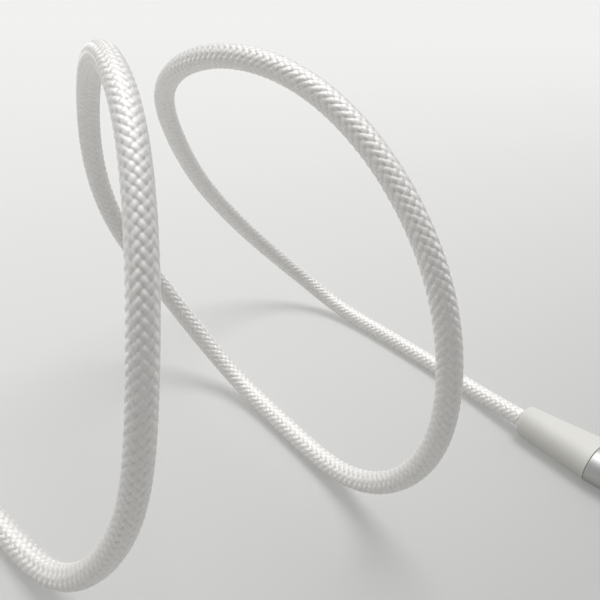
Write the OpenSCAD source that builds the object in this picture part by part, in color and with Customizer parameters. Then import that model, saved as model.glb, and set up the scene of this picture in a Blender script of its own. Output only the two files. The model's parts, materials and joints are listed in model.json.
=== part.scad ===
// Charging cable with a round braided cord, a device plug and a charger plug.
// Millimetres, +Z up. The origin is on the surface that the cable lies on,
// under the middle of the device plug, whose tip points along +X.

/* [Cable] */
// Outside diameter of the braided cable
cable_d = 3.8; // [3.4:0.1:4.2]
// Diameter of one insulated wire inside the cable
wire_d = 1; // [0.8:0.05:1.15]
// Diameter of a wire's bare copper core
core_d = 0.4; // [0.3:0.05:0.6]
// Radius of the innermost turn of the put-away coil
coil_r_min = 19.2; // [18:0.2:24]
// Turns in the put-away coil
coil_turns = 2.5; // [1.5, 2.5, 3.5]
// Gap between neighbouring turns and layers of the coil
coil_gap = 0.5; // [0.45:0.05:1]
// Length of cable from the coil to the charger plug
tail_len = 26; // [20:1:60]
// Thickness of the strap that ties the coil
tie_t = 0.5; // [0.4:0.05:0.8]
// Width of the strap that ties the coil
tie_w = 4; // [3:0.5:5]

/* [Device plug, outside] */
// Width of the metal sleeve
c_sleeve_w = 10.8; // [10.4:0.1:12.5]
// Thickness of the metal sleeve
c_sleeve_t = 6.8; // [6.6:0.1:8]
// Length of the metal sleeve
c_sleeve_len = 17; // [16:0.5:22]
// Length of the strain relief that shows
c_relief_len = 16; // [12:0.5:22]
// Diameter of the strain relief where the cable leaves it
c_relief_end_d = 6.5; // [6:0.1:6.6]

/* [Device plug, connector] */
// Width of the connector shell
c_shell_w = 8.25; // [8:0.05:8.35]
// Thickness of the connector shell
c_shell_t = 2.4; // [2.35:0.05:2.6]
// How far the connector shell stands out of the sleeve
c_shell_out = 6.65; // [6.4:0.05:7.4]
// How far the connector shell reaches into the sleeve
c_shell_in = 3.4; // [2.6:0.1:4]
// Wall of the connector shell
c_shell_wall = 0.2; // [0.15:0.01:0.22]
// Height of the mouth between the two contact carriers
c_mouth_h = 1.12; // [1.08:0.02:1.2]
// Distance between neighbouring contact places
c_pitch = 0.5; // [0.48:0.01:0.52]
// Width of one contact
c_contact_w = 0.25; // [0.2:0.01:0.3]
// Length of the circuit board
c_board_len = 7.4; // [6.4:0.1:8]
// Width of the circuit board
c_board_w = 7.4; // [6.6:0.1:7.8]
// Thickness of the circuit board
c_board_t = 0.8; // [0.6:0.05:0.84]

/* [Charger plug, outside] */
// Width of the metal sleeve
a_sleeve_w = 15.6; // [15.2:0.1:17]
// Thickness of the metal sleeve
a_sleeve_t = 7.8; // [7.6:0.1:9]
// Length of the metal sleeve
a_sleeve_len = 20; // [19:0.5:26]
// Length of the strain relief that shows
a_relief_len = 14; // [12:0.5:20]
// Diameter of the strain relief where the cable leaves it
a_relief_end_d = 6.5; // [6:0.1:7.4]

/* [Charger plug, connector] */
// Width of the connector shell
a_shell_w = 12; // [11.8:0.05:12.1]
// Thickness of the connector shell
a_shell_t = 4.5; // [4.4:0.05:4.6]
// How far the connector shell stands out of the sleeve
a_shell_out = 12; // [11.75:0.05:13]
// How far the connector shell reaches into the sleeve
a_shell_in = 6.75; // [6:0.25:8]
// Wall of the connector shell
a_shell_wall = 0.3; // [0.25:0.01:0.35]
// Side of each square catch window in the shell
a_window = 2.4; // [2:0.1:2.6]
// Depth of the mouth, from the tip to the insulator's back wall
a_mouth_depth = 9; // [8.6:0.1:10]
// Width of one contact
a_contact_w = 1; // [0.9:0.05:1.1]

/* [Both plugs] */
// Wall of the metal sleeves
sleeve_wall = 0.6; // [0.5:0.05:0.65]
// Thickness of the sleeves' closed front
sleeve_front = 0.8; // [0.6:0.1:1.2]
// Rounding of the sleeves' end edges
sleeve_edge_r = 0.4; // [0.2:0.05:0.5]
// Rounding of the strain reliefs' cable end
relief_edge_r = 1; // [0.5:0.1:1.2]
// Depth of the strain reliefs' plug inside the sleeves
relief_plug = 2; // [1.6:0.1:2.6]
// Wall of the shielding cans
can_wall = 0.3; // [0.2:0.01:0.35]

/* [Hidden] */

$fn = 48;
cable_r = cable_d / 2;
fit = 0.05;             // clearance between fixed pieces that nest
sleeve_fit = 0.1;       // clearance between a sleeve and what it slides over
leaf_fit = 0.02;        // clearance on each side of a leaf of thin sheet
slice = 0.01;           // thickness of the slices that a hull joins
wire_place = wire_d / 2 + 0.12; // a wire's distance from the cable's axis, in Y and in Z
crimp_len = 4;          // length of a can's crimped neck on the cable
strip_len = 1.4;        // length of bare core on its solder pad
core_step = 0.5;        // length over which a core steps down to its pad
core_room = 0.2;        // room past the end of a core
end_reach = 0.4;        // how far the cable's end stands in front of the can's back wall
wire_lead = 0.4;        // straight length of a wire in front of the cable's end
cut = 1;                // how far a cutting tool passes a face

// Places along the device plug, from the cable's end of its strain relief
c_sleeve_x = c_relief_len;
c_front_x = c_sleeve_x + c_sleeve_len;
c_tip_x = c_front_x + c_shell_out;
c_can_x = c_sleeve_x + relief_plug + fit;
c_shell_x = c_front_x - c_shell_in;
c_block_out = 0.4;      // how far the carriers' thick backs reach past the sleeve
c_block_x = c_front_x + c_block_out;
c_board_gap = 0.6;      // from the board to the shell
c_board_x = c_shell_x - c_board_gap - c_board_len;
c_axis_z = c_sleeve_t / 2;
c_plug_x = -c_tip_x / 2;

// Sizes inside the device connector
c_cavity_w = c_shell_w - 2 * c_shell_wall;
c_cavity_t = c_shell_t - 2 * c_shell_wall;
c_latch_t = 0.15;
c_arm_t = 0.3;
c_arm_out = c_cavity_w / 2 - 0.2;
c_arm_in = c_arm_out - c_arm_t;
c_spring_t = 0.1;
c_carrier_half_w = c_arm_in - 0.1;
c_carrier_top = c_cavity_t / 2 - c_spring_t - 2 * leaf_fit;
c_contact_t = 0.12;
c_contact_top = c_mouth_h / 2 - leaf_fit;
c_contact_bottom = c_contact_top - c_contact_t;
c_upper_places = [-5.5, -2.5, -1.5, -0.5, 0.5, 2.5, 5.5];
c_lower_places = [-5.5, -2.5, -1.5, 2.5, 5.5];
c_tail_len = 2;         // how far the contacts' tails lie along the board
c_contact_in = 1;       // from the tip to the contacts' front ends
c_bend_start = 1.8;     // from a contact's front end to where its bend starts
c_bend_low = 1;         // from its front end to where the bend is full
c_bend_end = 0.6;       // from its front end to where the bend rises again
c_bend = 0.1;           // depth of the bend
c_back_in = 0.3;        // from the shell's back edge to the carriers and the latch
c_lip = 0.2;            // from the shell's front edge to the carriers
c_arm_stop = 2.2;       // from the tip to the latch arms' ends
c_arm_h = 0.5;
c_hook_len = 0.4;       // length of each slope of a latch arm's hook
c_hook_out = 0.18;
c_join = 0.05;          // how far the latch's sheet reaches into its arms
c_leaf_w = 0.6 * c_cavity_w;
c_leaf_len = 3.2;
c_solder_in = 0.6;      // from the board's back edge to the wires' ends
c_fan_gap = 0.3;        // from the board's back edge to where the wires are spread
c_pad_y = 1.6;          // from the board's middle to a wire's pad
resistor = [1, 0.5, 0.35];
resistor_back = 3.6;    // from the board's front edge to the resistor's back

// Places along the charger plug, from the cable's end of its strain relief
a_sleeve_x = a_relief_len;
a_front_x = a_sleeve_x + a_sleeve_len;
a_tip_x = a_front_x + a_shell_out;
a_can_x = a_sleeve_x + relief_plug + fit;
a_shell_x = a_front_x - a_shell_in;
a_mouth_x = a_tip_x - a_mouth_depth;
a_axis_z = a_sleeve_t / 2;

// Sizes inside the charger connector
a_cavity_w = a_shell_w - 2 * a_shell_wall;
a_cavity_t = a_shell_t - 2 * a_shell_wall;
a_corner_r = 0.6;
a_contact_t = 0.25;
a_contact_places = [-3.5, -1, 1, 3.5];
a_tail_out = 2.6;       // length of a contact's solder tail behind the shell
a_tongue_z = 0;         // face of the tongue that carries the contacts
a_window_in = 5.2;      // from the tip to the middle of a catch window
a_back_in = 0.3;        // from the shell's back edge to the insulator
a_lip = 0.3;            // from the shell's front edge to the tongue
a_outer_in = 1.6;       // from the tip to the outer contacts' front ends
a_inner_in = 2.6;       // from the tip to the inner contacts' front ends
a_solder_in = 0.4;      // from a contact's back end to where its wire ends
a_fan_gap = 0.8;        // from a contact's back end to where the wires are spread

// The cable's route from the device plug to the coil. The points steer a
// uniform cubic B-spline. The cable lies on the surface, rises into one loop,
// touches down, rises into a second loop, and comes down again.
lay = cable_r;
relief_face = [c_plug_x, 0, c_axis_z];
coil_entry = [-86, -95.5, lay];
ROUTE = [
    relief_face,
    [-32.5, 2.5, lay],
    [-47, 4, lay],
    [-62.5, 5, lay],
    [-76.5, 5, lay],
    [-87.5, 1.5, 7],
    [-94, -8, 15.5],
    [-96, -19.5, 26],
    [-94.5, -31, 37],
    [-90, -41, 49],
    [-83.5, -49, 59],
    [-72, -52.5, 66.5],
    [-56.5, -53.5, 70.5],
    [-41.5, -52.5, 69],
    [-28, -51.5, 62],
    [-17, -51, 51],
    [-12, -49.5, 36.5],
    [-12.5, -47.5, 21.5],
    [-20, -45.5, 9],
    [-31.5, -43.5, lay],
    [-46.5, -41.5, lay],
    [-63, -39.5, lay],
    [-75, -42.5, 9.5],
    [-84, -48, 20.5],
    [-88, -56, 33],
    [-86, -61.5, 47.5],
    [-78.5, -66, 60.5],
    [-68, -71, 68.2],
    [-53.5, -77, 71.1],
    [-40, -82, 66.5],
    [-30.5, -86.5, 55.5],
    [-25.5, -89.5, 41],
    [-25.5, -90, 24.5],
    [-32, -91.5, 10.5],
    [-41.5, -93.5, lay],
    [-57, -94, lay],
    [-71.5, -95.5, lay],
    coil_entry
];

// The coil winds in on the surface, climbs a layer in the half turn where the
// spiral reverses, and winds out again on top. A strap ties it on the side
// away from the climb, where the coil rises a little over the strap.
coil_pitch = cable_d + coil_gap;
coil_half = coil_turns / 2;
coil_r_out = coil_r_min + coil_pitch * coil_half;
climb_half = 0.25;
loop_steps = 24;
coil_lead = cable_d;
coil_start = coil_entry - [coil_lead, 0, 0];
coil_centre = [coil_start[0], coil_start[1] - coil_r_out, 0];
coil_exit = coil_centre + [coil_lead, -coil_r_out, lay + coil_pitch];
tie_angle = 90 - 360 * coil_half;
tie_rows = floor(coil_half + 0.5);      // strands side by side in each layer there
tie_r = coil_r_min + coil_pitch * tie_rows / 2;
tie_slack = 0.25;       // room beside the strands
tie_corner_r = 1.5;     // inner rounding of the strap
tie_lap = 3.4;          // how far the strap laps over itself
tie_tab = 2.4;          // how far its end stands out
tie_inset = 0.3;        // how much narrower its end is on each side

// The tail comes down from the coil's top layer to the charger plug's axis
tail_end = [coil_exit[0] + tail_len, coil_exit[1], a_axis_z];
TAIL = [
    coil_exit,
    coil_exit + [tail_len / 4, 0, 0],
    (coil_exit + tail_end) / 2,
    tail_end - [tail_len / 4, 0, 0],
    tail_end
];

run_rings = 70;
tail_rings = 5;
run_sides = 8;
coil_sides = 6;
along_x = [1, 0, 0];
along_y = [0, 1, 0];     // the loops stand round this direction
along_z = [0, 0, 1];

// ---- Points along the cable ----

// Point of a uniform cubic B-spline that starts and ends at its end points
function spline_at(c, u) =
    let (last = len(c) - 1)
    let (i = min(floor(u), last - 1))
    let (t = u - i)
    let (p0 = i == 0 ? 2 * c[0] - c[1] : c[i - 1])
    let (p3 = i == last - 1 ? 2 * c[last] - c[last - 1] : c[i + 2])
    (pow(1 - t, 3) * p0 + (3 * pow(t, 3) - 6 * t * t + 4) * c[i]
        + (-3 * pow(t, 3) + 3 * t * t + 3 * t + 1) * c[i + 1] + pow(t, 3) * p3) / 6;

function spline_points(c, rings) =
    [for (k = [0 : rings - 1]) spline_at(c, k * (len(c) - 1) / (rings - 1))];

// Point of the coil at a number of turns before or after its middle
function coil_at(turn) =
    let (r = coil_r_min + coil_pitch * abs(turn))
    let (angle = 270 + 360 * (turn - coil_half))
    let (climb = min(max((turn + climb_half) / (2 * climb_half), 0), 1))
    let (rise = (tie_t + fit) * pow(max(cos(angle - tie_angle), 0), 2))
    coil_centre + [r * cos(angle), r * sin(angle), lay + coil_pitch * climb + rise];

function coil_points() = [
    coil_entry,
    for (k = [0 : coil_turns * loop_steps]) coil_at(k / loop_steps - coil_half),
    coil_exit
];

function unit(v) = v / norm(v);

// Direction of a path at one of its points, square to X at both ends
function heading(p, i, first, last) =
    i == 0 ? first : i == len(p) - 1 ? last : unit(p[i + 1] - p[i - 1]);

// One ring of a tube, with its corners counted from the direction of a guide.
// Where the tube lies level, one corner is at its lowest place.
function ring(centre, dir, r, sides, guide) =
    let (side = unit(cross(dir, guide)))
    let (up = cross(side, dir))
    [for (k = [0 : sides - 1])
        centre + r * (sin(360 * k / sides) * side - cos(360 * k / sides) * up)];

function tube_rings(p, r, sides, first, last, guide = along_z) =
    [for (i = [0 : len(p) - 1]) ring(p[i], heading(p, i, first, last), r, sides, guide)];

function path_length(p) =
    len(p) < 2 ? 0 : [for (i = [1 : len(p) - 1]) norm(p[i] - p[i - 1])]
        * [for (i = [1 : len(p) - 1]) 1];

// Closed tube with triangle faces through a list of rings
module tube(rings, sides) {
    count = len(rings);
    points = [for (one = rings) each one];
    walls = [
        for (i = [0 : count - 2])
            for (k = [0 : sides - 1])
                let (a = i * sides + k)
                let (b = i * sides + (k + 1) % sides)
                each [[a, b, a + sides], [b, b + sides, a + sides]]
    ];
    first_cap = [for (k = [1 : sides - 2]) [0, k + 1, k]];
    end = (count - 1) * sides;
    last_cap = [for (k = [1 : sides - 2]) [end, end + k, end + k + 1]];
    polyhedron(points = points, faces = concat(walls, first_cap, last_cap));
}

// ---- Shapes that both plugs use ----

// Half section of a bar from its axis out, with both outer corners rounded
module bar_section(r, len, edge) {
    translate([0, edge]) square([r, len - 2 * edge]);
    square([r - edge, len]);
    if (edge > 0)
        for (y = [edge, len - edge])
            translate([r - edge, y]) circle(r = edge);
}

// Bar along +X with flat top and bottom, round sides and rounded end edges
module pill(w, t, len, edge = 0) {
    flat = w - t;
    for (side = [-1, 1])
        translate([0, side * flat / 2, 0])
            rotate([0, 90, 0])
                rotate_extrude()
                    bar_section(t / 2, len, edge);
    for (side = [0, 1])
        mirror([0, 0, side])
            translate([0, -flat / 2, 0])
                rotate([-90, -90, 0])
                    linear_extrude(flat)
                        bar_section(t / 2, len, edge);
}

// Bar along +X with a rounded rectangle as its section
module block(w, t, len, corner) {
    rotate([90, 0, 90])
        linear_extrude(len) {
            square([w - 2 * corner, t], center = true);
            square([w, t - 2 * corner], center = true);
            for (y = [-1, 1], z = [-1, 1])
                translate([y * (w / 2 - corner), z * (t / 2 - corner)])
                    circle(r = corner);
        }
}

// Round bar along +X
module rod(r, len) {
    rotate([0, 90, 0]) cylinder(r = r, h = len);
}

// Box along +X, centred on the plug's axis in Y, between two heights
module slab(w, len, low, high) {
    translate([0, -w / 2, low]) cube([len, w, high - low]);
}

// Insulated wire through a list of points, and the bare core that follows it
module wire(insulated, bare) {
    last = len(insulated) - 1;
    tube(concat(
        tube_rings(insulated, wire_d / 2, run_sides, along_x, along_x),
        [ring(insulated[last], along_x, core_d / 2, run_sides, along_z)],
        tube_rings(bare, core_d / 2, run_sides, along_x, along_x)
    ), run_sides);
}

// Moulded strain relief: round at the cable, growing to the sleeve's section
module strain_relief(end_d, length, w, t) {
    difference() {
        union() {
            hull() {
                for (a = [0 : 22.5 : 90])
                    translate([relief_edge_r * (1 - cos(a)), 0, 0])
                        rod(end_d / 2 - relief_edge_r * (1 - sin(a)), slice);
                translate([length - slice, 0, 0])
                    pill(w, t, slice);
            }
            translate([length - cut, 0, 0])
                pill(w - 2 * sleeve_wall - 2 * sleeve_fit,
                    t - 2 * sleeve_wall - 2 * sleeve_fit, relief_plug + cut);
        }
        translate([-cut, 0, 0])
            rod(cable_r + fit, length + relief_plug + 2 * cut);
        translate([length + relief_plug - crimp_len - fit, 0, 0])
            rod(cable_r + 2 * fit + can_wall, crimp_len + fit + cut);
    }
}

// Metal sleeve with a closed front that the connector shell passes through
module sleeve(w, t, length) {
    difference() {
        pill(w, t, length, sleeve_edge_r);
        translate([-cut, 0, 0])
            pill(w - 2 * sleeve_wall, t - 2 * sleeve_wall, length + cut - sleeve_front);
        translate([length - sleeve_front - cut, 0, 0])
            children();
    }
}

// Folded shielding can with a crimped neck round the cable's end
module shield_can(w, t, length) {
    difference() {
        union() {
            pill(w, t, length);
            translate([-crimp_len, 0, 0])
                rod(cable_r + fit + can_wall, crimp_len + can_wall);
        }
        translate([can_wall, 0, 0])
            pill(w - 2 * can_wall, t - 2 * can_wall, length + cut);
        translate([-crimp_len - cut, 0, 0])
            rod(cable_r + fit, crimp_len + can_wall + 2 * cut);
    }
}

// End of the cable inside a plug: braid and jacket, with the wires' places
module cable_end(length) {
    difference() {
        rod(cable_r, length);
        for (y = [-1, 1], z = [-1, 1])
            translate([length - cut, y * wire_place, z * wire_place])
                rod(wire_d / 2 + leaf_fit, 2 * cut);
    }
}

// ---- Device plug, along +X from the cable's end of its relief ----

c_end_len = c_can_x + can_wall + end_reach;
c_solder_x = c_board_x + c_solder_in;

// A wire that leaves the cable on one side and lies on top of or under the board
module c_wire(y, z) {
    pad_y = y * c_pad_y;
    level = z * (c_board_t / 2 + wire_d / 2 + fit);
    pad_z = z * (c_board_t / 2 + core_d / 2 + leaf_fit);
    wire([
        [c_end_len - cut, y * wire_place, z * wire_place],
        [c_end_len + wire_lead, y * wire_place, z * wire_place],
        [c_board_x - c_fan_gap, pad_y, level],
        [c_solder_x, pad_y, level]
    ], [
        [c_solder_x + core_step, pad_y, pad_z],
        [c_solder_x + core_step + strip_len, pad_y, pad_z]
    ]);
}

// Outline of one contact from its solder tail to its sprung tip
module c_contact(y) {
    tail_x = c_board_x + c_board_len - c_tail_len;
    tip_x = c_tip_x - c_contact_in;
    bend_z = c_contact_bottom - c_bend;
    translate([0, y * c_pitch + c_contact_w / 2, 0])
        rotate([90, 0, 0])
            linear_extrude(c_contact_w)
                polygon([
                    [tail_x, c_contact_bottom], [tip_x - c_bend_start, c_contact_bottom],
                    [tip_x - c_bend_low, bend_z], [tip_x - c_bend_end, bend_z],
                    [tip_x, c_contact_bottom], [tip_x, c_contact_top],
                    [tail_x, c_contact_top]
                ]);
}

module c_carrier(places) {
    difference() {
        intersection() {
            translate([c_shell_x + c_back_in, 0, 0])
                pill(c_cavity_w - 2 * leaf_fit, c_cavity_t - 2 * leaf_fit,
                    c_tip_x - c_lip - c_shell_x - c_back_in);
            union() {
                translate([c_shell_x, 0, 0])
                    slab(2 * c_carrier_half_w, c_tip_x - c_shell_x,
                        c_mouth_h / 2, c_carrier_top);
                translate([c_shell_x, 0, 0])
                    slab(2 * c_carrier_half_w, c_block_x - c_shell_x,
                        c_latch_t / 2 + leaf_fit, c_carrier_top);
            }
        }
        for (y = places)
            translate([c_shell_x - cut, y * c_pitch, 0])
                slab(c_contact_w + 2 * leaf_fit, c_block_x - c_shell_x + 2 * cut,
                    c_contact_bottom - leaf_fit, c_mouth_h / 2 + slice);
    }
}

module usb_c_shell() {
    color("lightgray")
        difference() {
            translate([c_shell_x, 0, 0])
                pill(c_shell_w, c_shell_t, c_tip_x - c_shell_x);
            translate([c_shell_x - cut, 0, 0])
                pill(c_cavity_w, c_cavity_t, c_tip_x - c_shell_x + 2 * cut);
        }
}

module usb_c_upper_carrier() {
    color("dimgray") c_carrier(c_upper_places);
}

module usb_c_lower_carrier() {
    color("dimgray") mirror([0, 0, 1]) c_carrier(c_lower_places);
}

module usb_c_upper_contacts() {
    color("gold") for (y = c_upper_places) c_contact(y);
}

module usb_c_lower_contacts() {
    color("gold") mirror([0, 0, 1]) for (y = c_lower_places) c_contact(y);
}

// Ground and latch plate: a sheet between the carriers with two hooked arms
module usb_c_latch() {
    back_x = c_shell_x + c_back_in;
    arm_len = c_tip_x - c_arm_stop - back_x;
    color("silver") {
        translate([back_x, 0, 0])
            slab(2 * (c_arm_in + c_join), c_block_x - c_lip - back_x,
                -c_latch_t / 2, c_latch_t / 2);
        for (side = [0, 1])
            mirror([0, side, 0])
                translate([back_x, c_arm_in, -c_arm_h / 2])
                    linear_extrude(c_arm_h)
                        polygon([
                            [0, 0], [arm_len - 2 * c_hook_len, 0],
                            [arm_len - c_hook_len, -c_hook_out],
                            [arm_len, 0], [arm_len, c_arm_t], [0, c_arm_t]
                        ]);
    }
}

// Thin sprung leaves between the carriers and the shell
module usb_c_ground_springs() {
    color("silver")
        for (side = [0, 1])
            mirror([0, 0, side])
                translate([c_block_x, 0, 0])
                    slab(c_leaf_w, c_leaf_len,
                        c_carrier_top + leaf_fit, c_cavity_t / 2 - leaf_fit);
}

module usb_c_circuit_board() {
    color("seagreen")
        translate([c_board_x, 0, 0])
            slab(c_board_w, c_board_len, -c_board_t / 2, c_board_t / 2);
}

resistor_x = c_board_x + c_board_len - resistor_back;

module usb_c_resistor() {
    color("black")
        translate([resistor_x, 0, 0])
            slab(resistor[1], resistor[0],
                c_board_t / 2 + leaf_fit, c_board_t / 2 + leaf_fit + resistor[2]);
}

c_can_w = c_sleeve_w - 2 * sleeve_wall - 2 * sleeve_fit;
c_can_t = c_sleeve_t - 2 * sleeve_wall - 2 * sleeve_fit;
c_can_len = c_shell_x - fit - c_can_x;

// Mould that fills the can round the board, its wires and the shell's back
module usb_c_inner_mould() {
    start_x = c_end_len + fit;
    contacts_w = (c_upper_places[6] - c_upper_places[0]) * c_pitch + c_contact_w;
    color("gainsboro")
        difference() {
            translate([start_x, 0, 0])
                pill(c_can_w - 2 * can_wall - 2 * fit, c_can_t - 2 * can_wall - 2 * fit,
                    c_front_x - sleeve_front - sleeve_fit - start_x);
            translate([c_shell_x - fit, 0, 0])
                pill(c_shell_w + 2 * fit, c_shell_t + 2 * fit, c_shell_in + cut);
            translate([c_board_x - fit, 0, 0])
                slab(c_board_w + 2 * fit, c_shell_x - c_board_x + cut,
                    -c_board_t / 2 - fit, c_board_t / 2 + fit);
            translate([resistor_x - fit, 0, 0])
                slab(resistor[1] + 2 * fit, resistor[0] + 2 * fit,
                    0, c_board_t / 2 + leaf_fit + resistor[2] + fit);
            translate([c_board_x + c_board_len - c_tail_len - fit, 0, 0])
                slab(contacts_w + 2 * fit, c_tail_len + cut,
                    -c_contact_top - fit, c_contact_top + fit);
            translate([start_x - cut, 0, 0])
                slab(2 * c_pad_y + wire_d + 2 * fit,
                    c_solder_x + core_step + strip_len + core_room + cut - start_x,
                    -c_board_t / 2 - wire_d - 2 * fit, c_board_t / 2 + wire_d + 2 * fit);
        }
}

module usb_c_shield_can() {
    color("silver")
        translate([c_can_x, 0, 0])
            shield_can(c_can_w, c_can_t, c_can_len);
}

module usb_c_sleeve() {
    color([0.8, 0.8, 0.81])
        translate([c_sleeve_x, 0, 0])
            sleeve(c_sleeve_w, c_sleeve_t, c_sleeve_len)
                pill(c_shell_w + 2 * fit, c_shell_t + 2 * fit, sleeve_front + 2 * cut);
}

module usb_c_strain_relief() {
    color("white") strain_relief(c_relief_end_d, c_relief_len, c_sleeve_w, c_sleeve_t);
}

module usb_c_cable_end() {
    color("whitesmoke") cable_end(c_end_len);
}

// ---- Charger plug, along +X from the cable's end of its relief ----

a_end_len = a_can_x + can_wall + end_reach;
a_tail_x = a_shell_x - a_tail_out;
a_solder_x = a_tail_x + a_solder_in;

// A wire from one side of the cable to the solder tail of a contact
module a_wire(place, y, z) {
    level = a_tongue_z + wire_d / 2 + fit;
    pad_z = a_tongue_z + core_d / 2 + leaf_fit;
    wire([
        [a_end_len - cut, y * wire_place, z * wire_place],
        [a_end_len + wire_lead, y * wire_place, z * wire_place],
        [a_tail_x - a_fan_gap, place, level],
        [a_solder_x, place, level]
    ], [
        [a_solder_x + core_step, place, pad_z],
        [a_solder_x + core_step + strip_len, place, pad_z]
    ]);
}

module usb_a_shell() {
    color("lightgray")
        difference() {
            translate([a_shell_x, 0, 0])
                block(a_shell_w, a_shell_t, a_tip_x - a_shell_x, a_corner_r);
            translate([a_shell_x - cut, 0, 0])
                block(a_cavity_w, a_cavity_t, a_tip_x - a_shell_x + 2 * cut,
                    a_corner_r - a_shell_wall);
            for (y = [-1, 1])
                translate([a_tip_x - a_window_in - a_window / 2, y * a_shell_w / 4, 0])
                    slab(a_window, a_window, -a_shell_t, a_shell_t);
        }
}

// Insulator with a tongue in the lower half of the mouth
module usb_a_insulator() {
    back_x = a_shell_x + a_back_in;
    low = -a_cavity_t / 2 + leaf_fit;
    w = a_cavity_w - 2 * leaf_fit;
    color("whitesmoke")
        difference() {
            union() {
                translate([back_x, 0, 0])
                    slab(w, a_mouth_x - back_x, low, -low);
                translate([back_x, 0, 0])
                    slab(w, a_tip_x - a_lip - back_x, low, a_tongue_z);
            }
            for (y = a_contact_places)
                translate([a_shell_x - cut, y, 0])
                    slab(a_contact_w + 2 * leaf_fit, a_tip_x - a_shell_x,
                        a_tongue_z - a_contact_t - leaf_fit, a_tongue_z + leaf_fit);
        }
}

// Four flat contacts, the outer two reaching further forward
module usb_a_contacts() {
    color("gold")
        for (y = a_contact_places) {
            tip_x = a_tip_x - (abs(y) == a_contact_places[3] ? a_outer_in : a_inner_in);
            translate([a_tail_x, y, 0])
                slab(a_contact_w, tip_x - a_tail_x, a_tongue_z - a_contact_t, a_tongue_z);
        }
}

a_can_w = a_sleeve_w - 2 * sleeve_wall - 2 * sleeve_fit;
a_can_t = a_sleeve_t - 2 * sleeve_wall - 2 * sleeve_fit;
a_can_len = a_shell_x - fit - a_can_x;

module usb_a_inner_mould() {
    start_x = a_end_len + fit;
    color("gainsboro")
        difference() {
            translate([start_x, 0, 0])
                pill(a_can_w - 2 * can_wall - 2 * fit, a_can_t - 2 * can_wall - 2 * fit,
                    a_front_x - sleeve_front - sleeve_fit - start_x);
            translate([a_shell_x - fit, 0, 0])
                block(a_shell_w + 2 * fit, a_shell_t + 2 * fit, a_shell_in + cut, a_corner_r);
            for (y = a_contact_places)
                translate([a_tail_x - fit, y, 0])
                    slab(a_contact_w + 2 * fit, a_tail_out + cut,
                        a_tongue_z - a_contact_t - fit, a_tongue_z + fit);
            translate([start_x - cut, 0, 0])
                slab(2 * a_contact_places[3] + wire_d + 4 * fit, a_shell_x - start_x + cut,
                    -2 * wire_place, a_tongue_z + wire_d + 3 * fit);
        }
}

module usb_a_shield_can() {
    color("silver")
        translate([a_can_x, 0, 0])
            shield_can(a_can_w, a_can_t, a_can_len);
}

module usb_a_sleeve() {
    color([0.8, 0.8, 0.81])
        translate([a_sleeve_x, 0, 0])
            sleeve(a_sleeve_w, a_sleeve_t, a_sleeve_len)
                block(a_shell_w + 2 * fit, a_shell_t + 2 * fit, sleeve_front + 2 * cut, a_corner_r);
}

module usb_a_strain_relief() {
    color("white") strain_relief(a_relief_end_d, a_relief_len, a_sleeve_w, a_sleeve_t);
}

module usb_a_cable_end() {
    color("whitesmoke") cable_end(a_end_len);
}

// ---- Free cable ----

run_points = spline_points(ROUTE, run_rings);
tail_points = spline_points(TAIL, tail_rings);
coil_path = coil_points();

module cable_run() {
    color("white")
        tube(tube_rings(run_points, cable_r, run_sides, -along_x, -along_x, along_y), run_sides);
}

module cable_coil() {
    color("white")
        tube(tube_rings(coil_path, cable_r, coil_sides, -along_x, along_x), coil_sides);
}

module cable_tail() {
    color("white")
        tube(tube_rings(tail_points, cable_r, run_sides, along_x, along_x), run_sides);
}

// Strap round all the coil's strands, whose end laps over it and stands out
module coil_tie() {
    inner_w = cable_d + (tie_rows - 1) * coil_pitch + 2 * tie_slack;
    inner_t = cable_d + coil_pitch + 2 * fit;
    outer_w = inner_w + 2 * tie_t;
    outer_t = inner_t + 2 * tie_t;
    color("gainsboro")
        translate(coil_centre)
            rotate([0, 0, tie_angle])
                translate([tie_r, tie_w / 2, outer_t / 2])
                    rotate([0, 0, -90])
                        difference() {
                            union() {
                                block(outer_w, outer_t, tie_w, tie_corner_r + tie_t);
                                translate([tie_inset, outer_w / 2 - tie_lap, (outer_t - tie_t) / 2])
                                    cube([tie_w - 2 * tie_inset, tie_lap + tie_tab, 3 / 2 * tie_t]);
                            }
                            translate([-cut, 0, 0])
                                block(inner_w, inner_t, tie_w + 2 * cut, tie_corner_r);
                        }
}

coil_far = loop_steps / 2;
coil_gaps = [
    for (i = [0 : len(coil_path) - 1 - coil_far])
        for (j = [i + coil_far : len(coil_path) - 1])
            norm(coil_path[i] - coil_path[j]) - cable_d
];
echo("least gap of the coil to itself, mm", min(coil_gaps));
echo("free cable length, mm",
    path_length(spline_points(ROUTE, 400)) + path_length(coil_path) + path_length(tail_points));

// ---- Places of the two plugs ----

module at_device() {
    translate([c_plug_x, 0, c_axis_z]) children();
}

module at_charger() {
    translate(tail_end) children();
}

cable_run();
cable_coil();
cable_tail();
coil_tie();
at_device() usb_c_shell();
at_device() usb_c_upper_carrier();
at_device() usb_c_lower_carrier();
at_device() usb_c_upper_contacts();
at_device() usb_c_lower_contacts();
at_device() usb_c_latch();
at_device() usb_c_ground_springs();
at_device() usb_c_circuit_board();
at_device() usb_c_resistor();
at_device() usb_c_inner_mould();
at_device() usb_c_shield_can();
at_device() usb_c_sleeve();
at_device() usb_c_strain_relief();
at_device() usb_c_cable_end();
at_device() color("red") c_wire(-1, 1);  // usb_c_power_wire
at_device() color("black") c_wire(1, 1);  // usb_c_ground_wire
at_device() color("white") c_wire(-1, -1);  // usb_c_data_minus_wire
at_device() color("green") c_wire(1, -1);  // usb_c_data_plus_wire
at_charger() usb_a_shell();
at_charger() usb_a_insulator();
at_charger() usb_a_contacts();
at_charger() usb_a_inner_mould();
at_charger() usb_a_shield_can();
at_charger() usb_a_sleeve();
at_charger() usb_a_strain_relief();
at_charger() usb_a_cable_end();
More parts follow.
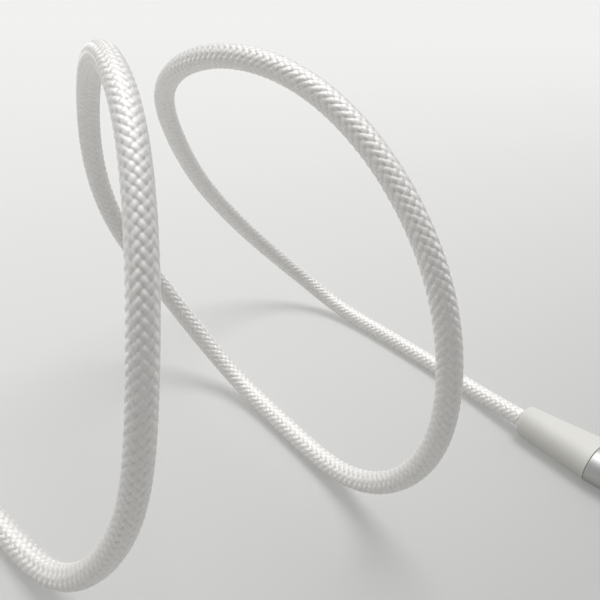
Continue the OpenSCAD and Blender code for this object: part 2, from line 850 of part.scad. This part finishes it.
at_charger() color("red") a_wire(-3.5, -1, 1);  // usb_a_power_wire
at_charger() color("white") a_wire(-1, -1, -1);  // usb_a_data_minus_wire
at_charger() color("green") a_wire(1, 1, -1);  // usb_a_data_plus_wire
at_charger() color("black") a_wire(3.5, 1, 1);  // usb_a_ground_wire
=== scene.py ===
"""Looks of a charging cable: a round braided cord with a device plug and a charger plug.

Sizes and places are in millimetres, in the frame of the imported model: +X along the
device plug, +Z up, origin on the surface under the middle of the device plug.
"""
import json
import math

import bpy
import numpy as np
from mathutils import Matrix, Vector


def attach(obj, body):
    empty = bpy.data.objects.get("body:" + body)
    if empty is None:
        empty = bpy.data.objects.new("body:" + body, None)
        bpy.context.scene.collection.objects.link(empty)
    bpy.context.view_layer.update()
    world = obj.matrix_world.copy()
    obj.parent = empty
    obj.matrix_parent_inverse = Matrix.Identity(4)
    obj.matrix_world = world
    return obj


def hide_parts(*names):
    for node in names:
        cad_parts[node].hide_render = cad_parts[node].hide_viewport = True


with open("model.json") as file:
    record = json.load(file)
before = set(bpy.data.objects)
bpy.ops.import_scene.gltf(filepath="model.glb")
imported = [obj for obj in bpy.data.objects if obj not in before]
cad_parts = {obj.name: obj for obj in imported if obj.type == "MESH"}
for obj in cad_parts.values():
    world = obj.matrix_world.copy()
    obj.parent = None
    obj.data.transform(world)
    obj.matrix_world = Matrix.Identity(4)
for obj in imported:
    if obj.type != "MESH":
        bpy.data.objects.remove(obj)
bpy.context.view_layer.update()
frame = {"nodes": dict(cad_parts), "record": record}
MM = 0.001                # a millimetre in metres

# ---- Sizes, as in the CAD source ----

CORD_D = 3.8
RELIEF_X = -19.825        # face of the device plug's strain relief
C_SLEEVE_T = 6.8          # thickness of the device plug's sleeve
A_SLEEVE_T = 7.8          # thickness of the charger plug's sleeve
LAY = CORD_D / 2          # height of the cord's middle where it lies on the surface
COIL_R_MIN = 19.2         # radius of the coil's innermost turn
COIL_TURNS = 2.5
COIL_GAP = 0.5            # between neighbouring turns and layers of the coil
COIL_PITCH = CORD_D + COIL_GAP
CLIMB_TURNS = 0.5         # turns in which the coil climbs from one layer to the next
TAIL_LEN = 26.0           # from the coil to the charger plug
FIT = 0.05                # clearance between fixed pieces that nest
TIE_T = 0.5               # thickness of the strap that ties the coil
TIE_W = 4.0
TIE_ANGLE = 0.0           # where it is, in degrees round the coil's middle
TIE_R = COIL_R_MIN + COIL_PITCH / 2
TIE_SLACK = 0.25          # room beside the cord
TIE_CORNER_R = 1.5
TIE_TAB = 2.4             # how far its end stands out
TIE_INSET = 0.3           # how much narrower its end is on each side

# ---- Camera ----

CAMERA_PLACE = (26.0, -124.0, 85.0)
CAMERA_YAW = 42.25        # degrees, heading from +Y towards -X
CAMERA_PITCH = 26.5       # degrees down
CAMERA_ROLL = 7.75        # degrees
CAMERA_LENS = 42.0        # focal length
CAMERA_SENSOR = 36.0      # its width
CAMERA_NEAR = 5.0         # nothing nearer or further than this is seen
CAMERA_FAR = 100000.0


def make_camera():
    yaw, pitch, roll = (math.radians(a) for a in (CAMERA_YAW, CAMERA_PITCH, CAMERA_ROLL))
    level = Vector((math.cos(yaw), math.sin(yaw), 0.0))
    heading = Vector((-math.sin(yaw), math.cos(yaw), 0.0))
    ahead = heading * math.cos(pitch) - Vector((0.0, 0.0, math.sin(pitch)))
    right = math.cos(roll) * level + math.sin(roll) * level.cross(ahead)
    up = right.cross(ahead)
    data = bpy.data.cameras.new("camera")
    data.lens = CAMERA_LENS
    data.sensor_width = CAMERA_SENSOR
    data.clip_start = CAMERA_NEAR * MM
    data.clip_end = CAMERA_FAR * MM
    camera = bpy.data.objects.new("camera", data)
    turn = Matrix((right, up, -ahead)).transposed().to_4x4()
    camera.matrix_world = Matrix.Translation(Vector(CAMERA_PLACE) * MM) @ turn
    bpy.context.collection.objects.link(camera)
    bpy.context.scene.camera = camera


# ---- The cord's path ----

# Points that steer the free stretch from the device plug to the coil
ROUTE = [
    (RELIEF_X, 0, C_SLEEVE_T / 2), (-32.5, 2.5, LAY), (-47, 4, LAY), (-62.5, 5, LAY),
    (-76.5, 5, LAY), (-87.5, 1.5, 7), (-94, -8, 15.5), (-96, -19.5, 26), (-94.5, -31, 37),
    (-90, -41, 49), (-83.5, -49, 59), (-72, -52.5, 66.5), (-56.5, -53.5, 70.5),
    (-41.5, -52.5, 69), (-28, -51.5, 62), (-17, -51, 51), (-12, -49.5, 36.5),
    (-12.5, -47.5, 21.5), (-20, -45.5, 9), (-31.5, -43.5, LAY), (-46.5, -41.5, LAY),
    (-63, -39.5, LAY), (-75, -42.5, 9.5), (-84, -48, 20.5), (-88, -56, 33), (-86, -61.5, 47.5),
    (-78.5, -66, 60.5), (-68, -71, 68.2), (-53.5, -77, 71.1), (-40, -82, 66.5),
    (-30.5, -86.5, 55.5), (-25.5, -89.5, 41), (-25.5, -90, 24.5), (-32, -91.5, 10.5),
    (-41.5, -93.5, LAY), (-57, -94, LAY), (-71.5, -95.5, LAY), (-86, -95.5, LAY),
]
COIL_R_OUT = COIL_R_MIN + COIL_PITCH * COIL_TURNS / 2
COIL_START = (ROUTE[-1][0] - CORD_D, ROUTE[-1][1], LAY)
COIL_CENTRE = (COIL_START[0], COIL_START[1] - COIL_R_OUT)
COIL_EXIT = (COIL_CENTRE[0] + CORD_D, COIL_CENTRE[1] - COIL_R_OUT, LAY + COIL_PITCH)
COIL_END_ANGLE = 270      # degrees round the coil's middle where the cord leaves it
COIL_LEAD = 1.0           # how far before the coil's start and end a straight point lies
CHARGER = (COIL_EXIT[0] + TAIL_LEN, COIL_EXIT[1], A_SLEEVE_T / 2)
SPLINE_STEPS = 40         # points of the path for each point that steers it
COIL_STEPS = 400          # points of the path for each turn of the coil
JOIN_SMOOTHINGS = 40      # how often the path is smoothed, where its stretches meet


def spline(control):
    """Points of a uniform cubic B-spline that starts and ends at its end points."""
    c = np.array(control, float)
    c = np.vstack([2 * c[0] - c[1], c, 2 * c[-1] - c[-2]])
    u = np.linspace(0, len(c) - 3, SPLINE_STEPS * (len(c) - 3) + 1)
    i = np.minimum(u.astype(int), len(c) - 4)
    t = (u - i)[:, None]
    return ((1 - t) ** 3 * c[i] + (3 * t ** 3 - 6 * t * t + 4) * c[i + 1]
            + (-3 * t ** 3 + 3 * t * t + 3 * t + 1) * c[i + 2] + t ** 3 * c[i + 3]) / 6


def coil_points():
    """Winds in on the surface, climbs a layer where the spiral reverses, winds out on top.

    The coil rises a little over the strap that ties it.
    """
    turn = np.linspace(-COIL_TURNS / 2, COIL_TURNS / 2, int(COIL_TURNS * COIL_STEPS) + 1)
    radius = COIL_R_MIN + COIL_PITCH * np.abs(turn)
    angle = np.radians(COIL_END_ANGLE + 360 * (turn - COIL_TURNS / 2))
    climb = np.clip(turn / CLIMB_TURNS + 0.5, 0, 1)
    rise = (TIE_T + FIT) * np.maximum(np.cos(angle - math.radians(TIE_ANGLE)), 0) ** 2
    return np.stack([
        COIL_CENTRE[0] + radius * np.cos(angle),
        COIL_CENTRE[1] + radius * np.sin(angle),
        LAY + COIL_PITCH * climb + rise,
    ], 1)


def tail_points():
    """From the coil's top layer down to the charger plug."""
    start, end = np.array(COIL_EXIT), np.array(CHARGER)
    quarter = np.array([TAIL_LEN / 4, 0, 0])
    return spline([start, start + quarter, (start + end) / 2, end - quarter, end])


def even_path(points, step):
    """The same path with points an even distance apart, and how far along each one is."""
    far = np.concatenate([[0], np.cumsum(np.linalg.norm(np.diff(points, axis=0), axis=1))])
    count = int(round(far[-1] / step))
    s = np.linspace(0, far[-1], count + 1)
    return np.stack([np.interp(s, far, points[:, k]) for k in range(3)], 1), s


def smoothed(points, times):
    """Rounds the small corners where two stretches of the path meet; the ends stay."""
    for _ in range(times):
        points[1:-1] = (points[:-2] + 2 * points[1:-1] + points[2:]) / 4
    return points


def cord_path(step):
    """Middle line of the whole cord, and how far along it each point is."""
    before = [(COIL_START[0] + COIL_LEAD, COIL_START[1], COIL_START[2])]
    after = [(COIL_EXIT[0] - COIL_LEAD, COIL_EXIT[1], COIL_EXIT[2])]
    whole = np.vstack([spline(ROUTE), before, coil_points(), after, tail_points()])
    path, _ = even_path(whole, step)
    return even_path(smoothed(path, JOIN_SMOOTHINGS), step)


def headings(path):
    """Direction of the path at each point."""
    ahead = np.gradient(path, axis=0)
    return ahead / np.linalg.norm(ahead, axis=1)[:, None]


def side_vectors(path):
    """Two vectors across the path at each point, carried along it without twist."""
    ahead = headings(path)
    across = np.zeros_like(path)
    across[0] = np.cross(ahead[0], (0, 0, 1))
    across[0] /= np.linalg.norm(across[0])
    for i in range(1, len(path)):
        v = across[i - 1] - ahead[i] * (across[i - 1] @ ahead[i])
        across[i] = v / np.linalg.norm(v)
    return across, np.cross(across, ahead)


# ---- Meshes ----

def mesh_object(name, points, faces):
    """A smooth mesh object from points in millimetres and arrays of faces of one size each."""
    mesh = bpy.data.meshes.new(name)
    mesh.vertices.add(len(points))
    mesh.vertices.foreach_set("co", (np.asarray(points, float) * MM).ravel())
    corners = np.concatenate([group.ravel() for group in faces])
    sizes = np.concatenate([np.full(len(group), group.shape[1]) for group in faces])
    mesh.loops.add(len(corners))
    mesh.loops.foreach_set("vertex_index", corners.astype(np.int32))
    mesh.polygons.add(len(sizes))
    mesh.polygons.foreach_set("loop_start", (np.cumsum(sizes) - sizes).astype(np.int32))
    mesh.update(calc_edges=True)
    mesh.validate()
    mesh.shade_smooth()
    piece = bpy.data.objects.new(name, mesh)
    bpy.context.collection.objects.link(piece)
    return piece


def tube_object(name, points):
    """A closed tube from rows of points, each row once round it."""
    rows, columns = points.shape[:2]
    i = np.arange(rows - 1)[:, None] * columns
    j = np.arange(columns)[None, :]
    k = (j + 1) % columns
    quads = np.stack([i + j, i + k, i + columns + k, i + columns + j], 2).reshape(-1, 4)
    ends = [j[:, ::-1], j + (rows - 1) * columns]
    return mesh_object(name, points.reshape(-1, 3), [quads, *ends])


def keep_at_points(piece, name, kind, field, values):
    """Stores a value for each point of a piece, which its material reads by name."""
    layer = piece.data.attributes.new(name, kind, "POINT")
    layer.data.foreach_set(field, values.ravel().astype(np.float32))


# ---- The braid ----

STRANDS = 8               # strands that wind each way
BRAID_PITCH = 1.38        # along the cord, from one float of a column to the next
BRAID_STEP = BRAID_PITCH / 12
BRAID_SIDES = 112
CORE_R = 1.69             # radius of the middle of the strands' sides
STRAND_RISE = 0.12        # height of a strand's own round back
BACK_POWER = 2.5          # 2 for a back that is a parabola, and more for a flatter one
WEAVE_RISE = 0.07         # how far a strand rises and dips as it crosses others
ENDS = 6                  # yarns that lie side by side in one strand


def braid_surface(s, theta):
    """Height of the braid over its core, the place across the strand that is on top,
    and which way that strand winds.

    Each strand goes over one strand of the other direction and under the next.
    """
    a = STRANDS * theta / (2 * math.pi) - s / BRAID_PITCH
    b = STRANDS * theta / (2 * math.pi) + s / BRAID_PITCH
    i, j = np.floor(a), np.floor(b)

    def back(across):
        return STRAND_RISE * (1 - np.abs(2 * across - 1) ** BACK_POWER)

    one = back(a - i) + WEAVE_RISE * np.sin(math.pi * (i + b))
    two = back(b - j) - WEAVE_RISE * np.sin(math.pi * (j + a))
    top = one > two
    across = np.where(top, a - i, b - j)
    return np.maximum(one, two), across, np.where(top, 1.0, -1.0)


def make_cord():
    """The braided cord, and its middle line."""
    path, s = cord_path(BRAID_STEP)
    across, up = side_vectors(path)
    theta = np.arange(BRAID_SIDES) * 2 * math.pi / BRAID_SIDES
    height, yarn, way = braid_surface(s[:, None], theta[None, :])
    cos, sin = np.cos(theta)[None, :, None], np.sin(theta)[None, :, None]
    out = cos * across[:, None, :] + sin * up[:, None, :]
    round_way = -sin * across[:, None, :] + cos * up[:, None, :]
    points = path[:, None, :] + (CORE_R + height)[:, :, None] * out
    points[:, :, 2] = np.maximum(points[:, :, 2], 0.0)
    cord = tube_object("braided_cord", points)
    keep_at_points(cord, "yarn", "FLOAT", "value", yarn * ENDS)
    ahead = np.cross(across, up)[:, None, :]
    strand_width = math.pi * CORD_D / STRANDS
    strand_way = BRAID_PITCH * ahead + way[:, :, None] * strand_width * round_way
    strand_way /= np.linalg.norm(strand_way, axis=2)[:, :, None]
    keep_at_points(cord, "strand_way", "FLOAT_VECTOR", "vector", strand_way)
    return cord, path


# ---- The strap ----

STRAP_STEP = 0.1
STRAP_COLUMNS = 40        # from one edge of the strap to the other
STRAP_EDGE_POWER = 8      # 2 for edges that are half an ellipse, and more for squarer ones
STRAP_WEAVE = 0.6         # size of its weave's repeat
STRAP_RELIEF = 0.02       # how far its weave rises and dips
STRAP_TIP = 0.9           # length of its rounded end
STRAP_TIP_ROUND = 0.95    # 1 for a tip that ends in a point
STRAP_END_THIN = 0.1      # square of the share of its thickness that its ends keep
STRAP_START = 0.2         # straight length before the first corner
STRAP_CORNER_STEP = 10    # degrees
LAP_EASE = 0.12           # height in which the lap starts and ends its rise
TAB_SAG = 0.06            # how far the end that stands out hangs half way along it
TAB_DROP = 0.3            # how far its tip hangs
STRAP_SMOOTHINGS = 12


def strap_path():
    """Middle line of the strap, out from the coil's middle and up.

    It starts on top of the cord, goes down on the outer side, under the cord and up again,
    laps over its own start and stands out a little.
    """
    side = CORD_D / 2 + TIE_SLACK + TIE_T / 2
    low, top = TIE_T / 2, CORD_D + COIL_PITCH + 2 * FIT + 3 / 2 * TIE_T
    bend = TIE_CORNER_R + TIE_T / 2
    flat = side - bend
    points = [(flat - STRAP_START, top)]
    corners = [(flat, top - bend, 90), (flat, low + bend, 0),
               (-flat, low + bend, -90), (-flat, top - bend, -180)]
    for x, z, first in corners:
        for turn in range(0, 91, STRAP_CORNER_STEP):
            angle = math.radians(first - turn)
            points.append((x + bend * math.cos(angle), z + bend * math.sin(angle)))
    lap = top + TIE_T
    points += [
        (-flat / 2, top + LAP_EASE), (0, lap - LAP_EASE), (flat / 2, lap), (side, lap),
        (side + TIE_TAB / 2, lap - TAB_SAG), (side + TIE_T / 2 + TIE_TAB, lap - TAB_DROP),
    ]
    path, _ = even_path(np.array([(x, 0, z) for x, z in points]), STRAP_STEP)
    return even_path(smoothed(path, STRAP_SMOOTHINGS), STRAP_STEP)


def strap_width(s):
    """Half the strap's width at each point: narrower where it laps, and round at the tip."""
    left = s[-1] - s
    lapped = np.clip((TIE_TAB + CORD_D - left) / CORD_D, 0, 1)
    tip = np.clip(1 - left / STRAP_TIP, 0, STRAP_TIP_ROUND)
    return (TIE_W / 2 - TIE_INSET * lapped) * np.sqrt(1 - tip ** 2)


def make_strap():
    """Woven strap round the two layers of the coil."""
    path, s = strap_path()
    out = np.cross((0, 1, 0), headings(path))
    across = np.linspace(-1, 1, STRAP_COLUMNS + 1)
    across = np.concatenate([across, across[-2:0:-1]])
    face = np.where(np.arange(len(across)) <= STRAP_COLUMNS, 1.0, -1.0)
    edge = np.sqrt(np.maximum(1 - np.abs(across) ** STRAP_EDGE_POWER, 0))
    end = np.sqrt(np.clip(np.minimum(s, s[-1] - s) / TIE_T, STRAP_END_THIN, 1))[:, None]
    y = strap_width(s)[:, None] * across
    turns = 2 * math.pi / STRAP_WEAVE
    weave = np.cos(turns * s[:, None]) * np.cos(turns * y)
    height = face * edge * end * (TIE_T / 2 - 2 * STRAP_RELIEF + STRAP_RELIEF * weave)
    x = TIE_R + path[:, :1] + height * out[:, :1]
    z = path[:, 2:] + height * out[:, 2:]
    cos, sin = math.cos(math.radians(TIE_ANGLE)), math.sin(math.radians(TIE_ANGLE))
    points = [COIL_CENTRE[0] + x * cos - y * sin, COIL_CENTRE[1] + x * sin + y * cos, z]
    return tube_object("coil_strap", np.stack(points, 2))


# ---- Parts of materials ----

def new_material(name):
    material = bpy.data.materials.new(name)
    material.use_nodes = True
    nodes = material.node_tree.nodes
    return material, nodes, material.node_tree.links, nodes["Principled BSDF"]


def math_node(nodes, links, operation, source, other=None):
    """A number worked out from another one, and from a second one where it takes two."""
    node = nodes.new("ShaderNodeMath")
    node.operation = operation
    links.new(source, node.inputs[0])
    if other is not None:
        node.inputs[1].default_value = other
    return node.outputs[0]


def attribute(nodes, name):
    """What keep_at_points stored under a name."""
    node = nodes.new("ShaderNodeAttribute")
    node.attribute_name = name
    return node.outputs


def noise(nodes, links, scale, detail):
    """Noise with about this many spots for each metre."""
    place = nodes.new("ShaderNodeTexCoord")
    node = nodes.new("ShaderNodeTexNoise")
    node.inputs["Scale"].default_value = scale
    node.inputs["Detail"].default_value = detail
    links.new(place.outputs["Object"], node.inputs["Vector"])
    return node.outputs["Fac"]


def stretched_noise(nodes, links, scales, detail):
    """Noise with another number of spots for each metre along X, Y and Z."""
    place = nodes.new("ShaderNodeTexCoord")
    turn = nodes.new("ShaderNodeMapping")
    turn.inputs["Scale"].default_value = scales
    node = nodes.new("ShaderNodeTexNoise")
    node.inputs["Scale"].default_value = 1.0
    node.inputs["Detail"].default_value = detail
    links.new(place.outputs["Object"], turn.inputs["Vector"])
    links.new(turn.outputs["Vector"], node.inputs["Vector"])
    return node.outputs["Fac"]


def ramp(nodes, links, source, stops):
    """A colour that goes through the colours at the stops with a number."""
    node = nodes.new("ShaderNodeValToRGB")
    elements = node.color_ramp.elements
    while len(elements) < len(stops):
        elements.new(0.5)
    for element, (position, colour) in zip(elements, stops):
        element.position = position
        element.color = (*colour, 1)
    links.new(source, node.inputs["Fac"])
    return node.outputs["Color"]


def spread(nodes, links, source, first, last, low=0.0, high=1.0):
    """A number that goes from low to high while another goes from first to last."""
    node = nodes.new("ShaderNodeMapRange")
    node.inputs["From Min"].default_value = first
    node.inputs["From Max"].default_value = last
    node.inputs["To Min"].default_value = low
    node.inputs["To Max"].default_value = high
    links.new(source, node.inputs["Value"])
    return node.outputs["Result"]


def bump(nodes, links, height, distance, shader):
    node = nodes.new("ShaderNodeBump")
    node.inputs["Strength"].default_value = 1.0
    node.inputs["Distance"].default_value = distance
    links.new(height, node.inputs["Height"])
    links.new(node.outputs["Normal"], shader.inputs["Normal"])


def dot_product(nodes, links, source, way):
    """How far a place or a direction goes some way."""
    node = nodes.new("ShaderNodeVectorMath")
    node.operation = "DOT_PRODUCT"
    node.inputs[1].default_value = way
    links.new(source, node.inputs[0])
    return node.outputs["Value"]


# ---- Materials ----

TINT_DETAIL = 3.0         # finer layers of noise in a tint
GRAIN_DETAIL = 2.0        # and in a grain
BRAID_FINISH = {
    "Metallic": 0.15, "Roughness": 0.48, "IOR": 2.3, "Specular IOR Level": 1.0,
    "Coat Weight": 0.7, "Coat Roughness": 0.36, "Coat IOR": 2.0,
    "Anisotropic": 1.0, "Anisotropic Rotation": 0.25,
    "Sheen Weight": 0.5, "Sheen Roughness": 0.4,
}
BRAID_TINTS = (0.79, 0.773, 0.742), (0.85, 0.833, 0.80)
BRAID_SPOTS = 900         # for each metre
YARN_RISE = 0.02 * MM     # how round a yarn is
MOULD_SPOTS = 350
MOULD_GRAIN_SPOTS = 6000
MOULD_GRAIN = 0.004 * MM
CLOTH_GRAIN = 0.03 * MM
METAL_GRAIN = 0.002 * MM
DRAWN = (40, 3000, 3000)  # spots of drawn metal, which has fine lines along the plug
BLASTED = (3000, 3000, 3000)


def braid_material():
    """Smooth yarns, whose gloss is wide across each strand and narrow along it."""
    material, nodes, links, shader = new_material("braid_white")
    for socket, value in BRAID_FINISH.items():
        shader.inputs[socket].default_value = value
    links.new(attribute(nodes, "strand_way")["Vector"], shader.inputs["Tangent"])
    turn = math_node(nodes, links, "MULTIPLY", attribute(nodes, "yarn")["Fac"], math.pi)
    wave = math_node(nodes, links, "SINE", turn)
    bump(nodes, links, math_node(nodes, links, "ABSOLUTE", wave), YARN_RISE, shader)
    low, high = BRAID_TINTS
    tint = ramp(nodes, links, noise(nodes, links, BRAID_SPOTS, TINT_DETAIL), [(0, low), (1, high)])
    links.new(tint, shader.inputs["Base Color"])
    return material


def moulded_material(name, low, high, rough, grain=MOULD_GRAIN):
    """Plastic with faint spots and a fine grain."""
    material, nodes, links, shader = new_material(name)
    shader.inputs["Roughness"].default_value = rough
    tint = ramp(nodes, links, noise(nodes, links, MOULD_SPOTS, TINT_DETAIL), [(0, low), (1, high)])
    links.new(tint, shader.inputs["Base Color"])
    bump(nodes, links, noise(nodes, links, MOULD_GRAIN_SPOTS, GRAIN_DETAIL), grain, shader)
    return material


def metal_material(name, low, high, rough_low, rough_high, spots=DRAWN):
    """Metal whose tint, roughness and relief follow the same fine noise."""
    material, nodes, links, shader = new_material(name)
    shader.inputs["Metallic"].default_value = 1.0
    lines = stretched_noise(nodes, links, spots, TINT_DETAIL)
    links.new(ramp(nodes, links, lines, [(0, low), (1, high)]), shader.inputs["Base Color"])
    rough = spread(nodes, links, lines, 0, 1, rough_low, rough_high)
    links.new(rough, shader.inputs["Roughness"])
    bump(nodes, links, lines, METAL_GRAIN, shader)
    return material


def grey(value):
    return (value, value, value)


# Slot, darkest and lightest tint, and roughness
MOULDED = [
    ("relief_white", (0.60, 0.595, 0.56), (0.64, 0.635, 0.60), 0.6),
    ("plastic_dark", grey(0.035), grey(0.05), 0.45),
    ("plastic_white", grey(0.74), grey(0.79), 0.42),
    ("mould_natural", (0.72, 0.72, 0.67), (0.78, 0.78, 0.74), 0.4),
    ("board_green", (0.03, 0.2, 0.09), (0.04, 0.25, 0.12), 0.35),
    ("resistor_black", grey(0.03), grey(0.04), 0.5),
    ("wire_red", (0.55, 0.04, 0.03), (0.62, 0.05, 0.04), 0.4),
    ("wire_black", grey(0.02), grey(0.03), 0.4),
    ("wire_white", grey(0.78), grey(0.83), 0.4),
    ("wire_green", (0.03, 0.3, 0.1), (0.04, 0.36, 0.13), 0.4),
    ("strap_grey", grey(0.40), grey(0.52), 0.85, CLOTH_GRAIN),
]
# Slot, darkest and lightest tint, and least and most roughness
METALS = [
    ("sleeve_aluminium", (0.53, 0.535, 0.52), (0.60, 0.605, 0.59), 0.5, 0.62, BLASTED),
    ("plug_steel", grey(0.52), grey(0.60), 0.30, 0.42),
    ("spring_steel", grey(0.62), grey(0.70), 0.25, 0.35),
    ("can_steel", grey(0.55), grey(0.65), 0.3, 0.45),
    ("contact_gold", (0.80, 0.60, 0.26), (0.88, 0.70, 0.34), 0.18, 0.28),
]


def node_materials():
    """A material for each slot of the record but the braid's."""
    materials = {row[0]: moulded_material(*row) for row in MOULDED}
    materials.update({row[0]: metal_material(*row) for row in METALS})
    return materials


def dress_nodes(materials):
    """Gives the nodes of the CAD model the materials of their slots."""
    for part in frame["record"]["subparts"]:
        slot = part["material_slot"]
        if slot in materials:
            dressed = frame["nodes"][part["node"]].data.materials
            dressed.clear()
            dressed.append(materials[slot])


# ---- Floor ----

FLOOR_REACH = 40000.0     # from the middle of the floor to its edges
FLOOR_WAY = (-1, 0.08, 0)
# Painted light falloff: the floor's brightness by distance along its way, in metres, painted into
# its colour: darker towards the camera, where the light falls off
FLOOR_PAINTED_FALLOFF = [(-0.01, 0.55), (0.01, 0.60), (0.03, 0.64), (0.06, 0.69), (0.11, 0.745), (0.2, 0.81),
               (0.33, 0.855), (0.6, 0.885)]
FLOOR_TINT = (1, 1, 0.985)
FLOOR_LIGHT = 1.195       # about what a white floor would show under the world and the lamps
FLOOR_ROUGHNESS = 0.9
FLOOR_GLOSS = 0.1


def floor_material():
    material, nodes, links, shader = new_material("floor_pale")
    shader.inputs["Roughness"].default_value = FLOOR_ROUGHNESS
    shader.inputs["Specular IOR Level"].default_value = FLOOR_GLOSS
    place = nodes.new("ShaderNodeTexCoord")
    far = dot_product(nodes, links, place.outputs["Object"], FLOOR_WAY)
    # The floor's colour is painted shade: it darkens towards the camera in place of the light
    # falling off
    first, last = FLOOR_PAINTED_FALLOFF[0][0], FLOOR_PAINTED_FALLOFF[-1][0]
    stops = [((distance - first) / (last - first), [c * tone / FLOOR_LIGHT for c in FLOOR_TINT])
             for distance, tone in FLOOR_PAINTED_FALLOFF]
    colour = ramp(nodes, links, spread(nodes, links, far, first, last), stops)
    links.new(colour, shader.inputs["Base Color"])
    return material


def make_floor():
    """A wide pale surface, whose colour carries painted shade that darkens it towards the camera.
    """
    corners = [(-1, -1, 0), (1, -1, 0), (1, 1, 0), (-1, 1, 0)]
    floor = mesh_object("floor", np.array(corners) * FLOOR_REACH, [np.array([[0, 1, 2, 3]])])
    floor.data.materials.append(floor_material())


# ---- Light ----

# Name, direction that the light comes from, angle that it fills in degrees, strength, and
# whether it throws a shadow: the window, which makes the braid's bright spots, throws none
LAMPS = [
    ("key", (-0.094, 0.259, 0.961), 36, 1.15, True),
    ("window", (-0.45, -0.12, 0.88), 22, 1.3, False),
]
WORLD_LIGHT = 0.48        # the room's own light
WORLD_SPAN = 0.35         # how much brighter it is on one side and darker on the other
WORLD_WAY = (-0.672, 0.74, 0)  # where the brighter side is
WORLD_SEEN = 0.8          # what the camera sees past the floor


def make_world():
    world = bpy.data.worlds.new("world")
    bpy.context.scene.world = world
    world.use_nodes = True
    nodes, links = world.node_tree.nodes, world.node_tree.links
    back = nodes["Background"]
    back.inputs["Color"].default_value = (1, 1, 1, 1)
    place = nodes.new("ShaderNodeTexCoord")
    side = dot_product(nodes, links, place.outputs["Generated"], WORLD_WAY)
    dark, bright = WORLD_LIGHT * (1 - WORLD_SPAN), WORLD_LIGHT * (1 + WORLD_SPAN)
    path = nodes.new("ShaderNodeLightPath")
    seen = nodes.new("ShaderNodeMix")
    seen.inputs["B"].default_value = WORLD_SEEN
    links.new(path.outputs["Is Camera Ray"], seen.inputs["Factor"])
    links.new(spread(nodes, links, side, -1, 1, dark, bright), seen.inputs["A"])
    links.new(seen.outputs["Result"], back.inputs["Strength"])


def make_lamps():
    for name, way, angle, energy, shadow in LAMPS:
        data = bpy.data.lights.new(name, "SUN")
        data.angle = math.radians(angle)
        data.energy = energy
        data.use_shadow = shadow
        lamp = bpy.data.objects.new(name, data)
        lamp.rotation_euler = Vector(way).to_track_quat("Z", "Y").to_euler()
        bpy.context.collection.objects.link(lamp)


# ---- The scene ----

make_camera()
cord, middle_line = make_cord()
cord.data.materials.append(braid_material())
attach(cord, "root")
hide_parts("cable_run", "cable_coil", "cable_tail")
materials = node_materials()
strap = make_strap()
strap.data.materials.append(materials["strap_grey"])
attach(strap, "root")
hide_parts("coil_tie")
dress_nodes(materials)
make_floor()
make_world()
make_lamps()
bpy.context.scene.view_settings.view_transform = "Standard"
